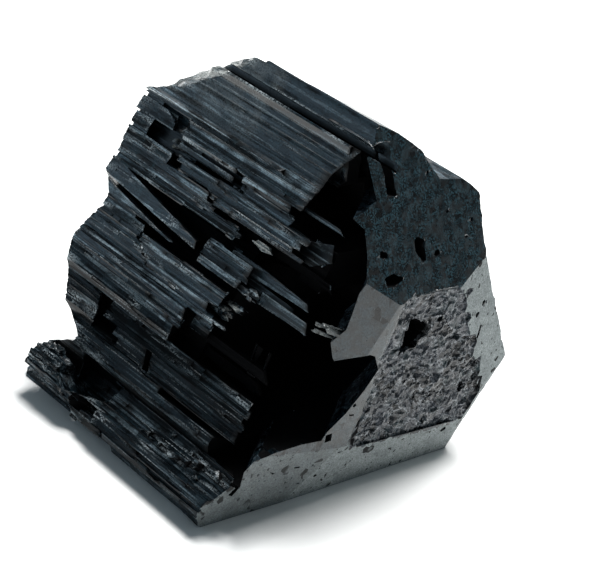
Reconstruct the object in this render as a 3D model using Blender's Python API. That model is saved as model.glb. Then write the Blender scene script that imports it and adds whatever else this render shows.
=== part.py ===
"""Black tourmaline crystal, a stout striated prism with one broken, gaping side.

The long axis of the crystal, its c axis, lies along X and its termination faces +X.
Everything is worked out in millimetres from the middle of the termination's blunt tip,
then moved so that the origin is under the middle of the crystal, on the surface it rests on.

The column outlines are given as (y, z). The broken side is described along its own face:
s runs down the face from the top edge of the broad striated column, and d runs inwards.
"""

import math
import random

import bmesh
import bpy
from mathutils import Matrix, Vector, noise

NAME = "tourmaline_crystal"
MM = 0.001

# Crystal directions, in degrees around the c axis and away from it
STEEP_SLOPE = 27.3       # the three large rhombohedral faces of the tip
LOW_SLOPE = 14.5         # the three small ones between them
SIDE_ANGLE = 152.6       # the broken side face, close to the prism face at 150
REST_TILT = 3.6          # how far the face it lies on is turned from the prism face at 270
REST_Z = -15.8           # height of that face straight under the tip's middle

# Faces of the tip: turn around the c axis, slope, and distance from the tip's middle
TIP_FACES = (
    (0.0, 0.0, 0.0),
    (90.0, STEEP_SLOPE, 4.63),
    (330.0, STEEP_SLOPE, 6.62),
    (30.0, LOW_SLOPE, 2.05),
    (270.0, LOW_SLOPE, 2.28),
    (262.8, 13.4, 2.41),
)
# The face over the gap, which ends at the gap: its direction, and the lowest z it reaches
LIP_FACE = (150.0, LOW_SLOPE, 2.63)
LIP_LOW = -2.0
BLOCK_SIZE = 160.0       # the block that the tip is cut from

SIDE_TOP = Vector((-8.5, 26.25))
SIDE_IN = Vector((-math.cos(math.radians(SIDE_ANGLE)), -math.sin(math.radians(SIDE_ANGLE))))
SIDE_DOWN = Vector((SIDE_IN.y, -SIDE_IN.x))

TIP_X = 1.0              # columns that reach the tip are made this long, then cut by its faces
PAST_TIP = 2.0           # cutters start this far out
BACK_X = -49.0           # columns that reach the broken back are made this long
LATH_ROOT = 4.6          # how far a lath reaches into the crystal
ROOT_STEP = 0.013        # no two roots end at the same depth
LATH_PITCH = 0.55        # width of the fine ridges on a lath
LATH_STEP = 0.09
LATH_MARGIN = 0.05       # how much wider than its face a lath is at its root
END_LEAN = (0.75, 1.1)   # how steeply the front ends of the laths slope back, for each step in
END_SKEW = (-0.35, 0.45)
FAR_LEFT = -60.0
CHANCE_SCALE = 7.0       # keeps the random numbers of neighbouring places apart
WELD = 0.0001

# The body that carries the tip, from the top edge round the whole right side and the base
CORE_RIGHT = ((-6.66, 29.8), (-3.2, 28.4), (0.0, 26.6), (8.5, 21.8), (9.8, 20.8),
              (9.9, 13.7), (19.5, -2.7), (11.8, -15.0), (11.2, -18.2))
# ... and up the left side: base slab, cavity, low face of the tip, and the lip at the top
CORE_LEFT = ((-29.0, -19.0), (-28.6, -17.8), (-25.4, -12.0), (-25.9, -9.4), (-25.0, -7.9),
             (-21.9, -7.3), (-17.7, -7.1), (-14.4, -7.3), (-13.7, -6.2), (-11.2, -4.1),
             (-8.9, -1.3), (-7.9, 0.3), (-7.3, 1.3), (-8.5, 3.4), (-9.5, 3.8), (-14.5, 3.4),
             (-14.8, 3.9), (-15.3, 5.8), (-13.4, 7.3), (-12.9, 9.1), (-12.3, 11.8),
             (-11.5, 13.0), (-11.3, 14.4), (-10.8, 16.0), (-10.8, 18.8), (-12.5, 20.1),
             (-10.6, 20.6), (-8.3, 21.6), (-9.1, 26.2), (-8.1, 27.1))
RIDGE_PITCH = 1.7
RIDGE_STEP = 0.16
RIDGE_UNEVEN = 0.3       # how unevenly the growth steps are spaced, as a share of their pitch
RIDGE_RISE = 0.1         # width of the step itself, as a share of the pitch

# A ledge on the right side, behind the edge of the tip
RIGHT_LEDGE = ((9.0, 13.9), (10.3, 13.4), (12.4, 9.9), (12.0, 8.0), (9.0, 8.0))
RIGHT_LEDGE_FRONT = -3.4

# The gaping side: the rim of the tip is undercut, and a hollow lies behind it
UNDERCUT = 1.3           # how far the undercut runs to the right for each step back
RIM_LOW = slice(2, 24)   # the stretches of the core's left edge that are undercut
RIM_HIGH = slice(22, 31)
RIM_LOW_BACK = -7.5
RIM_HIGH_BACK = -11.5
HOLLOW_LOW = ((-29.0, 9.0), (-5.0, 9.0), (0.2, 3.8), (2.0, 1.3), (1.4, -1.0), (-1.0, -4.2),
              (-5.0, -7.6), (-15.0, -9.0), (-22.0, -9.4), (-31.0, -7.0))
HOLLOW_HIGH = ((-24.0, 21.0), (-5.2, 21.0), (-4.2, 17.0), (-4.6, 12.0), (-5.2, 8.0), (-28.0, 8.0))
HOLLOW_LOW_BACK = -18.8
HOLLOW_HIGH_BACK = -19.1
HOLLOW_OVERLAP = 0.2     # how far the hollow runs into the undercut

# Fills the notch of the core's outline behind the hollow
CAVITY_FILL = ((-14.0, 9.0), (-6.0, 6.0), (-5.0, -8.0), (-23.0, -12.0), (-25.0, -11.0),
               (-21.6, -7.2), (-14.6, 6.3))
CAVITY_FILL_FRONT = -18.4

# Laths of the broken side: s of the top and bottom edge, d at each, back end and front end
LATHS = (
    # broad column under the groove
    (-0.1, 1.0, 0.00, 0.05, BACK_X, -10.2),
    (1.0, 2.4, 0.00, 0.00, BACK_X, -10.8),
    (2.4, 3.7, 0.08, 0.00, BACK_X, -11.6),
    (3.7, 4.9, 0.00, 0.10, BACK_X, -12.2),
    (4.9, 6.0, 0.10, 0.05, BACK_X, -12.5),
    (6.0, 7.2, 0.05, 0.15, BACK_X, -12.6),
    (7.2, 7.8, 0.35, 0.25, BACK_X, -12.7),
    (7.8, 8.4, 0.00, 0.15, -37.2, -12.9),
    (8.4, 9.3, 0.25, 0.10, -37.0, -13.2),
    (9.3, 10.1, 0.20, 0.00, -37.3, -13.5),
    # narrow laths below it
    (10.1, 10.6, 0.25, 0.45, -37.0, -24.6),
    (10.0, 11.1, 0.00, 0.20, -24.2, -13.7),
    (10.9, 11.9, 0.60, 0.45, -37.0, -25.4),
    (11.1, 12.2, 1.10, 1.00, -25.0, -15.0),
    # loose-edged pieces by the back, around two hollows
    (8.3, 10.3, 0.50, 0.30, BACK_X, -38.4),
    (10.5, 12.2, 0.60, 0.30, BACK_X, -43.3),
    (8.1, 13.0, 2.60, 2.40, BACK_X, -35.0),
    (7.6, 13.1, 1.10, 0.90, BACK_X, -43.4),
    (12.6, 14.2, 0.40, 0.10, BACK_X, -36.4),
    # stepped column in the middle of the upper half
    (12.2, 13.3, 0.15, 0.10, -35.6, -10.0),
    (13.3, 14.1, 0.20, 0.10, -34.6, -9.7),
    (14.1, 14.7, 0.00, 0.10, -27.5, -10.4),
    (14.7, 15.4, -0.06, 0.05, -26.4, -8.9),
    (14.1, 14.8, 0.20, 0.15, BACK_X, -27.4),
    (14.8, 15.3, 0.30, 0.20, BACK_X, -26.6),
    (15.3, 15.9, 0.20, 0.30, BACK_X, -26.0),
    (15.9, 16.4, 0.35, 0.20, BACK_X, -20.7),
    (16.4, 17.1, 0.65, 0.45, BACK_X, -20.4),
    (17.1, 17.5, 0.10, 0.00, BACK_X, -20.0),
    # stubs beside the wedge-shaped gap
    (18.9, 20.4, 0.80, 0.60, -24.4, -15.5),
    (20.4, 21.2, 0.95, 0.75, -24.5, -15.2),
    (21.2, 22.41, 0.40, 0.30, -24.0, -16.6),
    (21.47, 22.36, 1.10, 0.95, -17.3, -13.5),
    (21.4, 22.3, 0.60, 0.50, BACK_X, -37.5),
    (22.3, 23.3, 0.50, 0.40, BACK_X, -33.5),
    # thick column in the middle of the face
    (23.3, 24.0, 0.90, 0.80, BACK_X, -34.0),
    (23.3, 24.4, 0.35, 0.20, -34.2, -17.4),
    (24.0, 24.5, 0.30, 0.35, BACK_X, -33.8),
    (24.5, 24.9, 0.95, 0.90, BACK_X, -33.0),
    (24.4, 25.5, 0.25, 0.20, -33.5, -17.1),
    (24.9, 25.6, 0.20, 0.15, BACK_X, -32.0),
    (25.5, 26.7, -0.10, 0.00, -31.0, -17.2),
    (25.6, 26.7, 0.18, 0.12, BACK_X, -30.8),
    (26.6, 27.0, 0.80, 0.80, BACK_X, -17.5),
    (26.9, 27.5, 0.25, 0.15, BACK_X, -14.6),
    (27.4, 27.9, 0.85, 0.85, BACK_X, -17.0),
    (27.8, 29.2, 0.10, 0.00, BACK_X, -19.8),
    (29.2, 30.6, 0.05, 0.12, BACK_X, -20.0),
    (30.6, 31.7, 0.16, 0.00, BACK_X, -20.2),
    (31.7, 32.8, -0.10, 0.50, BACK_X, -20.6),
    (27.8, 29.8, 1.50, 1.50, -20.5, -16.8),
    # lobe under its back end
    (32.6, 34.6, 0.55, 0.70, BACK_X, -33.8),
    (34.6, 36.4, 0.75, 1.10, BACK_X, -33.7),
    (36.4, 37.7, 1.20, 2.10, BACK_X, -34.5),
    # thin laths in the shade under it, up to the tip
    (32.7, 33.7, 2.00, 1.80, -34.0, -5.2),
    (33.7, 34.7, 2.15, 1.70, -34.0, -4.5),
    (34.7, 35.3, 1.95, 1.70, -34.0, -4.7),
    (35.3, 36.4, 1.75, 1.60, -31.0, -4.3),
    (36.4, 37.5, 1.65, 1.40, -29.5, -4.1),
    (37.5, 38.0, 1.35, 1.25, -24.0, -4.0),
    # base, up to the tip
    (40.9, 42.0, 1.60, 1.20, -31.0, -1.4),
    (42.0, 43.2, 0.90, 0.40, -31.0, -0.8),
    (43.2, 44.8, 0.50, -0.40, -31.0, TIP_X),
    (44.7, 46.1, -0.90, -1.05, -24.2, TIP_X),
    (46.0, 46.7, -0.55, -0.60, -26.8, TIP_X),
    (46.6, 47.5, -0.85, -0.20, -21.6, TIP_X),
    (47.4, 48.4, 0.05, 1.30, -20.4, TIP_X),
    (46.6, 47.9, -0.20, 0.50, -29.0, -21.0),
)

# Front end of the broad column: s and x along one smooth curve
COLUMN_END = ((0.1, -10.1), (1.0, -10.5), (2.4, -11.25), (4.5, -12.25), (7.1, -12.6),
              (8.6, -13.0), (11.2, -13.5))
COLUMN_LATHS = 10        # the laths from the first one that end on it

# Slanted and freely shaped pieces on the side: (x, s) outline, then d of the front and back
SIDE_PLATES = (
    # two slanted laths in the wedge-shaped gap
    (((-49.0, 17.6), (-43.2, 17.4), (-25.4, 20.2), (-25.0, 21.4), (-42.5, 19.8), (-49.0, 19.2)), 0.1, 5.0),
    (((-49.0, 19.0), (-43.2, 20.4), (-29.2, 22.1), (-29.6, 22.5), (-43.5, 21.6), (-49.0, 21.6)), 0.5, 5.0),
    # chip lodged in the gap
    (((-18.6, 16.4), (-17.4, 15.7), (-15.4, 15.9), (-14.4, 16.5), (-16.4, 16.9)), 1.2, 4.6),
    # stub with a slanted end that stands free in the hollow, and one below it
    (((-21.0, 28.8), (-7.4, 28.8), (-5.9, 30.1), (-21.0, 30.1)), 2.8, 6.0),
    (((-21.0, 30.6), (-8.6, 30.6), (-7.0, 31.8), (-21.0, 31.8)), 4.2, 8.0),
    # steps in front of the middle of the face, under the rim
    (((-21.0, 9.2), (-8.6, 9.2), (-7.2, 9.9), (-21.0, 10.0)), 2.4, 5.2),
    (((-21.0, 12.0), (-11.0, 12.2), (-8.2, 11.2), (-7.0, 13.4), (-9.6, 15.2), (-21.0, 15.4)), 2.6, 6.0),
    (((-21.0, 15.2), (-6.2, 15.4), (-5.0, 16.6), (-21.0, 16.6)), 3.2, 6.0),
    (((-21.0, 18.3), (-12.4, 18.5), (-6.4, 18.9), (-5.6, 19.8), (-21.0, 20.4)), 1.9, 6.0),
    (((-21.0, 20.0), (-8.4, 20.4), (-7.4, 22.2), (-21.0, 22.4)), 2.6, 6.4),
    (((-13.6, 20.8), (-5.2, 20.9), (-4.4, 22.4), (-13.6, 22.6)), 2.2, 6.0),
)

# Cut into the side: (x, s) outline, then d of the front and back
SIDE_CUTS = (
    (((-46.0, -0.95), (2.0, -0.95), (2.0, -0.1), (-46.0, -0.1)), -1.0, 4.4),
    (((-26.0, 9.9), (-24.2, 10.4), (-24.1, 12.1), (-25.6, 12.0)), -1.0, 1.6),
    (((-24.6, 35.2), (-23.6, 35.2), (-22.2, 37.6), (-23.2, 37.6)), -1.0, 3.2),
    (((-19.0, -4.15), (-34.0, -3.35), (-50.0, -2.6), (-50.0, -8.0), (-19.0, -8.0)), -4.0, 9.0),
    (((-42.0, 7.9), (-37.6, 7.8), (-37.4, 8.3), (-38.6, 9.6), (-41.8, 8.3)), -1.0, 1.4),
    (((-33.8, 40.4), (-24.6, 41.0), (-24.4, 43.4), (-30.6, 45.4), (-33.0, 44.0)), -3.0, 4.2),
)

# Clusters of broken bits: middle and spread in x, s and d, the size and number of the bits,
# and the way from a bit to where it is still joined
CRUMBS = (
    ((-15.2, 25.2, 1.2), (1.7, 1.2, 0.5), 0.75, 12, (-5.0, 0.0, 1.2)),
    ((-13.9, 21.9, 1.0), (1.0, 0.6, 0.3), 0.80, 4, (-2.5, 0.0, 1.0)),
    ((-9.9, 26.3, 3.4), (2.0, 0.7, 0.4), 0.50, 3, (0.0, 3.4, 0.8)),
    ((-3.0, 20.4, 2.4), (1.1, 1.1, 0.5), 0.70, 8, (1.4, -0.6, 5.0)),
    ((-12.0, 43.6, 0.4), (7.0, 0.7, 0.3), 1.00, 10, (0.0, 0.0, 2.2)),
    ((-9.0, 42.2, 1.0), (6.0, 0.7, 0.3), 0.90, 8, (0.0, 0.0, 2.2)),
    ((-31.5, 2.8, 0.3), (2.2, 2.2, 0.3), 0.50, 3, (0.0, 0.0, 2.2)),
    ((-38.5, 11.6, 1.4), (1.6, 0.7, 0.5), 0.70, 5, (0.0, 0.0, 2.6)),
    ((-9.0, -1.7, 0.5), (0.9, 0.5, 0.3), 0.60, 4, (0.0, 0.0, 2.2)),
)
CRUMB_SIZES = (0.5, 1.2)     # smallest and largest bit, as a share of the cluster's size
CRUMB_CORNERS = 7
CRUMB_REACH = (0.7, 1.0)     # how far the corners lie from the middle, as a share of the size
CRUMB_HEIGHT = 0.7           # how much flatter across the side the bits are than long

# Cut into the tip along X: (y, z) outline and the x where the cut ends
TIP_CUTS = (
    (((-7.8, 27.4), (-5.3, 27.6), (-5.2, 22.6), (-4.8, 21.9), (-6.3, 21.9), (-6.4, 24.3)), -17.0),
    (((-1.4, 13.8), (-0.9, 14.0), (-0.7, 16.8), (-2.4, 17.5), (-2.9, 17.1), (-2.9, 15.5)), -7.6),
    (((-8.4, 12.1), (-6.3, 12.1), (-4.5, 12.9), (-6.1, 13.3), (-6.9, 13.8), (-8.8, 13.3)), -5.6),
    (((-9.0, 15.5), (-7.0, 15.3), (-7.8, 16.0), (-8.8, 16.3)), -5.0),
    (((-2.5, 7.9), (1.8, 5.6), (1.3, 4.8), (-2.8, 1.9), (-4.1, 1.6), (-3.8, 5.0)), -5.4),
    (((5.2, 3.7), (7.3, 3.2), (7.5, 2.7), (5.4, 2.8)), -2.0),
    (((9.4, -3.6), (10.0, -3.9), (10.1, -5.6), (9.7, -6.0)), -2.2),
    (((11.2, 4.2), (11.5, 4.1), (10.8, 1.9), (10.5, 1.9)), -3.0),
    (((-14.0, -6.5), (-12.6, -6.4), (-12.5, -7.8), (-13.9, -7.9)), -2.6),
    (((-10.8, -4.3), (-9.5, -4.5), (-9.4, -4.8), (-10.6, -4.7)), -1.6),
    (((-21.8, -10.3), (-20.6, -10.9), (-20.0, -10.9), (-20.7, -11.2)), -3.0),
    (((-17.6, -10.7), (-16.2, -10.8), (-16.2, -11.1), (-17.5, -11.0)), -3.0),
)

CUT_TAPER = 0.45         # width of a cut's bottom against its mouth; the first one stays as wide
PIT_TAPER = 0.4
PIT_CORNERS = ((-1.0, -0.3), (-0.2, -1.0), (1.0, -0.1), (0.4, 1.0), (-0.5, 0.7))

# Small pits in the tip: y, z, half width, half height, and how deep
TIP_PITS = (
    (1.0, 14.9, 0.9, 0.6, 1.8),
    (6.5, 16.1, 0.5, 0.3, 1.0),
    (7.8, 17.9, 0.3, 0.5, 1.0),
    (3.6, 19.2, 0.5, 0.25, 1.0),
    (0.9, 23.8, 0.3, 0.3, 1.0),
    (2.3, 6.5, 0.5, 0.5, 1.4),
    (8.8, -8.1, 0.6, 0.5, 1.2),
    (11.0, 6.9, 0.5, 0.6, 1.4),
    (9.9, 5.6, 0.4, 0.35, 1.2),
    (8.8, -11.0, 0.8, 0.7, 1.6),
    (-10.0, -3.2, 0.5, 0.4, 1.4),
    (-12.8, -13.3, 0.5, 0.4, 1.2),
    (-15.3, -14.0, 0.6, 0.25, 1.0),
    (-10.3, -10.0, 0.8, 0.2, 1.0),
    (1.3, -10.8, 0.6, 0.2, 1.0),
)

# Chip off the top edge of the tip, with the edge behind it left whole
EDGE_CHIP = ((0.2, 26.8), (1.8, 24.2), (3.0, 23.0), (4.8, 22.7), (6.9, 22.6), (9.0, 24.0))
EDGE_CHIP_BACK = -13.2

# Back end: x of the break along the side face, and the farthest x that shows beyond it
BREAK_EDGE = ((-6.0, -31.0), (-4.0, -31.3), (-1.0, -33.8), (0.1, -35.0), (2.4, -37.3), (3.9, -39.4),
              (5.4, -42.4), (6.3, -45.3), (7.6, -47.2), (9.3, -47.5), (18.0, -46.4), (20.0, -45.0),
              (21.6, -42.8), (23.6, -43.0), (26.0, -43.7), (29.0, -44.1), (31.3, -43.4),
              (32.8, -42.7), (33.8, -41.0), (36.8, -39.8), (37.4, -37.2), (38.3, -35.6),
              (39.4, -34.6), (41.0, -35.6), (42.4, -38.8), (52.0, -39.0))
BREAK_REACH = ((-6.0, -31.8), (-3.0, -34.0), (-0.6, -37.9), (1.3, -40.2), (2.3, -41.9), (4.0, -44.3),
               (6.2, -46.2), (8.7, -47.6), (52.0, -47.8))
CRUST_SLOPE = 2.2
CRUST_END = 9.3
VIEW_SLOPE = 0.62
BACK_PLANE = -46.4
BACK_SWELL = 2.4
SWELL_PITCH = 0.09
SWELL_LEVEL = 3.7        # which layer of the noise the swell follows
BACK_RELIEF = 1.3
BACK_CHIPS = ((1.0, 4.0, 0.3, 1.6), (0.5, 1.7, 4.3, 1.6))    # share, size, noise layer and tilt
BACK_FADE = 3.0          # the chips reach their full relief this deep, and deeper under the crust
CRUST_FADE = 10.0
BACK_S = (-7.0, 56.0)
BACK_D = (-4.0, 46.0)
BACK_STEP = 1.9
BACK_END = -60.0
GRID_UNEVEN = 0.7        # how far a grid point wanders, as a share of the step

# Broken crystal at the low back corner: short laths, then lumps as x, s, d and half sizes
KNOB_LATHS = (
    (42.6, 43.6, -1.2, -1.5, -38.6, -30.5),
    (43.6, 44.6, -1.7, -1.6, -39.2, -29.8),
    (44.6, 45.6, -1.3, -1.5, -38.9, -29.0),
    (45.6, 46.6, -1.0, -0.7, -38.0, -29.3),
)
KNOB_ROOT = 1.5
KNOB_MARGIN = 0.1
KNOB_LEAN = -0.6
KNOBS = (
    ((-34.4, 44.8, 0.9), (4.5, 2.4, 2.3)),
    ((-37.2, 42.5, 0.8), (1.9, 1.0, 1.6)),
    ((-31.4, 45.7, 1.0), (2.2, 1.4, 2.2)),
)
LUMP_ROUGHNESS = ((0.24, 2.3), (0.12, 5.1))    # height and fineness of a lump's relief

# Rough, etched blunt face: y and z range and the relief
BLUNT_Y = (-10.6, 13.6)
BLUNT_Z = (-9.8, 10.6)
BLUNT_EDGE = ((-10.0, -9.6), (-8.1, -9.4), (-3.8, -8.1), (0.0, -7.5), (2.5, -7.5), (6.2, -6.2), (9.8, -5.6))
BLUNT_STEP = 0.95
BLUNT_RELIEF = 0.75
BLUNT_CHIPS = ((0.6, 1.9, 1.7, 1.4), (0.4, 1.0, 6.2, 1.8))    # share, size, noise layer and tilt
BLUNT_FADE = 0.8         # width over which the relief starts
BLUNT_CLEAR = 0.15       # how far the cutter stays off the smooth part
BLUNT_END = 3.0


def side_point(s, d):
    """The (y, z) of a place on the broken side."""
    place = SIDE_TOP + SIDE_DOWN * s + SIDE_IN * d
    return place.x, place.y


def side_depth(y, z):
    return (Vector((y, z)) - SIDE_TOP).dot(SIDE_IN)


def face_normal(turn, slope):
    lean = math.sin(math.radians(slope))
    return Vector((math.cos(math.radians(slope)),
                   lean * math.cos(math.radians(turn)),
                   lean * math.sin(math.radians(turn))))


def face_x(face, y, z):
    """Where one face of the tip lies over a place in the cross section."""
    turn, slope, distance = face
    normal = face_normal(turn, slope)
    return (distance - normal.y * y - normal.z * z) / normal.x


def tip_x(y, z):
    """Where the surface of the tip lies over a place in the cross section."""
    faces = TIP_FACES if z < LIP_LOW else TIP_FACES + (LIP_FACE,)
    return min(face_x(face, y, z) for face in faces)


# Axes that lay a flat outline down: (x, s) with d outwards from it, or (y, z) with x
SIDE_AXES = Matrix((
    (1.0, 0.0, 0.0, 0.0),
    (0.0, SIDE_DOWN.x, SIDE_IN.x, SIDE_TOP.x),
    (0.0, SIDE_DOWN.y, SIDE_IN.y, SIDE_TOP.y),
    (0.0, 0.0, 0.0, 1.0),
))
COLUMN_AXES = Matrix((
    (0.0, 0.0, 1.0, 0.0),
    (1.0, 0.0, 0.0, 0.0),
    (0.0, 1.0, 0.0, 0.0),
    (0.0, 0.0, 0.0, 1.0),
))
UNDERCUT_AXES = Matrix((
    (0.0, 0.0, 1.0, 0.0),
    (1.0, 0.0, -UNDERCUT, 0.0),
    (0.0, 1.0, 0.0, 0.0),
    (0.0, 0.0, 0.0, 1.0),
))
BACK_AXES = SIDE_AXES @ Matrix((
    (0.0, 0.0, 1.0, 0.0),
    (1.0, 0.0, 0.0, 0.0),
    (0.0, 1.0, 0.0, 0.0),
    (0.0, 0.0, 0.0, 1.0),
))


def clear_scene():
    for item in list(bpy.data.objects):
        bpy.data.objects.remove(item, do_unlink=True)


def new_collection(name):
    group = bpy.data.collections.new(name)
    bpy.context.scene.collection.children.link(group)
    return group


def add_mesh(name, mesh, group):
    """Put a mesh in the scene as a guide for the Booleans."""
    item = bpy.data.objects.new(name, mesh)
    item.display_type = "WIRE"
    item.hide_render = True
    group.objects.link(item)
    return item


def weld(mesh):
    """Close the loose caps, turn every face outwards and keep the faces flat."""
    form = bmesh.new()
    form.from_mesh(mesh)
    bmesh.ops.remove_doubles(form, verts=form.verts, dist=WELD)
    bmesh.ops.recalc_face_normals(form, faces=form.faces)
    for face in form.faces:
        face.smooth = False
    form.to_mesh(mesh)
    form.free()


def extruded(name, outline, low, high, axes, group):
    """A flat outline filled and extruded from low to high, then laid along its own axes."""
    curve = bpy.data.curves.new(name, "CURVE")
    curve.dimensions = "2D"
    curve.fill_mode = "BOTH"
    curve.extrude = (high - low) / 2.0
    spline = curve.splines.new("POLY")
    spline.points.add(len(outline) - 1)
    for point, (u, v) in zip(spline.points, outline):
        point.co = (u, v, 0.0, 1.0)
    spline.use_cyclic_u = True
    holder = bpy.data.objects.new(name, curve)
    group.objects.link(holder)
    depsgraph = bpy.context.evaluated_depsgraph_get()
    mesh = bpy.data.meshes.new_from_object(holder.evaluated_get(depsgraph))
    bpy.data.objects.remove(holder, do_unlink=True)
    mesh.transform(axes @ Matrix.Translation((0.0, 0.0, (low + high) / 2.0)))
    weld(mesh)
    return add_mesh(name, mesh, group)


def combine(target, group, operation):
    """Join, cut or keep the target with every guide in the collection."""
    modifier = target.modifiers.new(operation.title(), "BOOLEAN")
    modifier.operation = operation
    modifier.solver = "MANIFOLD"
    modifier.operand_type = "COLLECTION"
    modifier.collection = group
    depsgraph = bpy.context.evaluated_depsgraph_get()
    mesh = bpy.data.meshes.new_from_object(target.evaluated_get(depsgraph))
    target.modifiers.clear()
    target.data = mesh


def ridged(points, pitch, step, draw):
    """The outline with low growth steps along its straight stretches."""
    outline = [points[0]]
    for start, end in zip(points, points[1:]):
        a = Vector(start)
        b = Vector(end)
        along = (b - a).normalized()
        inward = Vector((along.y, -along.x))
        count = int((b - a).length / pitch)
        level = 0.0
        for index in range(1, count):
            place = a.lerp(b, (index + draw.uniform(-RIDGE_UNEVEN, RIDGE_UNEVEN)) / count)
            outline.append(tuple(place + inward * level))
            level = draw.uniform(0.0, step)
            outline.append(tuple(place + along * (RIDGE_RISE * pitch) + inward * level))
        outline.append(end)
    return outline


def build_core(group):
    draw = random.Random(4)
    outline = ridged(CORE_RIGHT, RIDGE_PITCH, RIDGE_STEP, draw) + list(CORE_LEFT)
    return extruded("core", outline, BACK_X, TIP_X, COLUMN_AXES, group)


def build_hollow(group):
    """The undercut behind the rim of the tip, and the hollow that it opens into."""
    for name, stretch, back in (("rim_low", RIM_LOW, RIM_LOW_BACK), ("rim_high", RIM_HIGH, RIM_HIGH_BACK)):
        rim = [(y + UNDERCUT * tip_x(y, z), z) for y, z in CORE_LEFT[stretch]]
        outline = rim + [(FAR_LEFT, rim[-1][1]), (FAR_LEFT, rim[0][1])]
        extruded(name, outline, back, PAST_TIP, UNDERCUT_AXES, group)
    low_front, high_front = RIM_LOW_BACK + HOLLOW_OVERLAP, RIM_HIGH_BACK + HOLLOW_OVERLAP
    extruded("hollow_low", HOLLOW_LOW, HOLLOW_LOW_BACK, low_front, COLUMN_AXES, group)
    extruded("hollow_high", HOLLOW_HIGH, HOLLOW_HIGH_BACK, high_front, COLUMN_AXES, group)


def build_columns(group):
    draw = random.Random(11)
    extruded("cavity_fill", CAVITY_FILL, BACK_X, CAVITY_FILL_FRONT, COLUMN_AXES, group)
    extruded("right_ledge", RIGHT_LEDGE, BACK_X, RIGHT_LEDGE_FRONT, COLUMN_AXES, group)
    for index, (top, bottom, d_top, d_bottom, back, front) in enumerate(LATHS):
        root = LATH_ROOT + ROOT_STEP * index
        edge = [(top, d_top), (bottom, d_bottom)]
        outline = ridged(edge, LATH_PITCH, -LATH_STEP, draw)
        outline += [(bottom + LATH_MARGIN, root), (top - LATH_MARGIN, root)]
        outline = [side_point(s, d) for s, d in outline]
        lath = extruded(f"lath_{index}", outline, back, front, COLUMN_AXES, group)
        if index < COLUMN_LATHS:
            curve_end(lath.data, (back + front) / 2.0)
        elif front < TIP_X:
            lean_end(lath.data, draw.uniform(*END_LEAN), draw.uniform(*END_SKEW))
    for index, (outline, near, far) in enumerate(SIDE_PLATES):
        plate = extruded(f"plate_{index}", outline, near, far + ROOT_STEP * index, SIDE_AXES, group)
        lean_end(plate.data, END_LEAN[0], 0.0)
    for index, (top, bottom, d_top, d_bottom, back, front) in enumerate(KNOB_LATHS):
        outline = [side_point(top, d_top), side_point(bottom, d_bottom),
                   side_point(bottom + KNOB_MARGIN, KNOB_ROOT), side_point(top - KNOB_MARGIN, KNOB_ROOT)]
        ridge = extruded(f"knob_lath_{index}", outline, back, front, COLUMN_AXES, group)
        lean_end(ridge.data, KNOB_LEAN, draw.uniform(*END_SKEW))
    for index, (centre, sizes) in enumerate(KNOBS):
        build_lump(f"knob_{index}", centre, sizes, group)
    for index, (centre, spread, size, count, root) in enumerate(CRUMBS):
        for number in range(count):
            place = Vector([draw.uniform(-1.0, 1.0) * spread[axis] + centre[axis] for axis in range(3)])
            half = size * draw.uniform(*CRUMB_SIZES)
            build_crumb(f"crumb_{index}_{number}", place, half, root, draw, group)


def lean_end(mesh, lean, skew):
    """Slope the front end of a lath back into the crystal."""
    ends = [vert.co.x for vert in mesh.vertices]
    middle = (min(ends) + max(ends)) / 2.0
    front = [vert for vert in mesh.vertices if vert.co.x > middle]
    depths = [side_depth(vert.co.y, vert.co.z) for vert in front]
    heights = [vert.co.z for vert in front]
    for vert, depth in zip(front, depths):
        vert.co.x -= lean * (depth - min(depths)) + skew * (vert.co.z - min(heights))


def curve_end(mesh, middle):
    """Bring the front end of a lath to the smooth end of the broad column."""
    for vert in mesh.vertices:
        if vert.co.x > middle:
            place = Vector((vert.co.y, vert.co.z)) - SIDE_TOP
            end = interpolate(COLUMN_END, place.dot(SIDE_DOWN))
            vert.co.x = end - END_LEAN[0] * max(place.dot(SIDE_IN), 0.0)


def build_lump(name, centre, sizes, group):
    """A broken lump: a coarse ball with a rough surface."""
    mesh = bpy.data.meshes.new(name)
    form = bmesh.new()
    bmesh.ops.create_icosphere(form, subdivisions=2, radius=1.0)
    for vert in form.verts:
        rough = 1.0 + sum(height * noise.noise(vert.co * fineness + Vector(centre))
                          for height, fineness in LUMP_ROUGHNESS)
        vert.co = Vector(centre) + Vector(vert.co[i] * sizes[i] for i in range(3)) * rough
    form.to_mesh(mesh)
    form.free()
    mesh.transform(SIDE_AXES)
    weld(mesh)
    return add_mesh(name, mesh, group)


def build_crumb(name, centre, size, root, draw, group):
    """A broken bit: the hull of a few points around its middle and one where it is joined."""
    mesh = bpy.data.meshes.new(name)
    form = bmesh.new()
    form.verts.new(centre + Vector(root))
    for _ in range(CRUMB_CORNERS):
        way = Vector([draw.uniform(-reach, reach) for reach in (1.0, CRUMB_HEIGHT, 1.0)])
        form.verts.new(centre + way.normalized() * size * draw.uniform(*CRUMB_REACH))
    hull = bmesh.ops.convex_hull(form, input=form.verts)
    inside = [item for item in hull["geom_interior"] if isinstance(item, bmesh.types.BMVert)]
    bmesh.ops.delete(form, geom=inside, context="VERTS")
    form.to_mesh(mesh)
    form.free()
    mesh.transform(SIDE_AXES)
    weld(mesh)
    return add_mesh(name, mesh, group)


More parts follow.
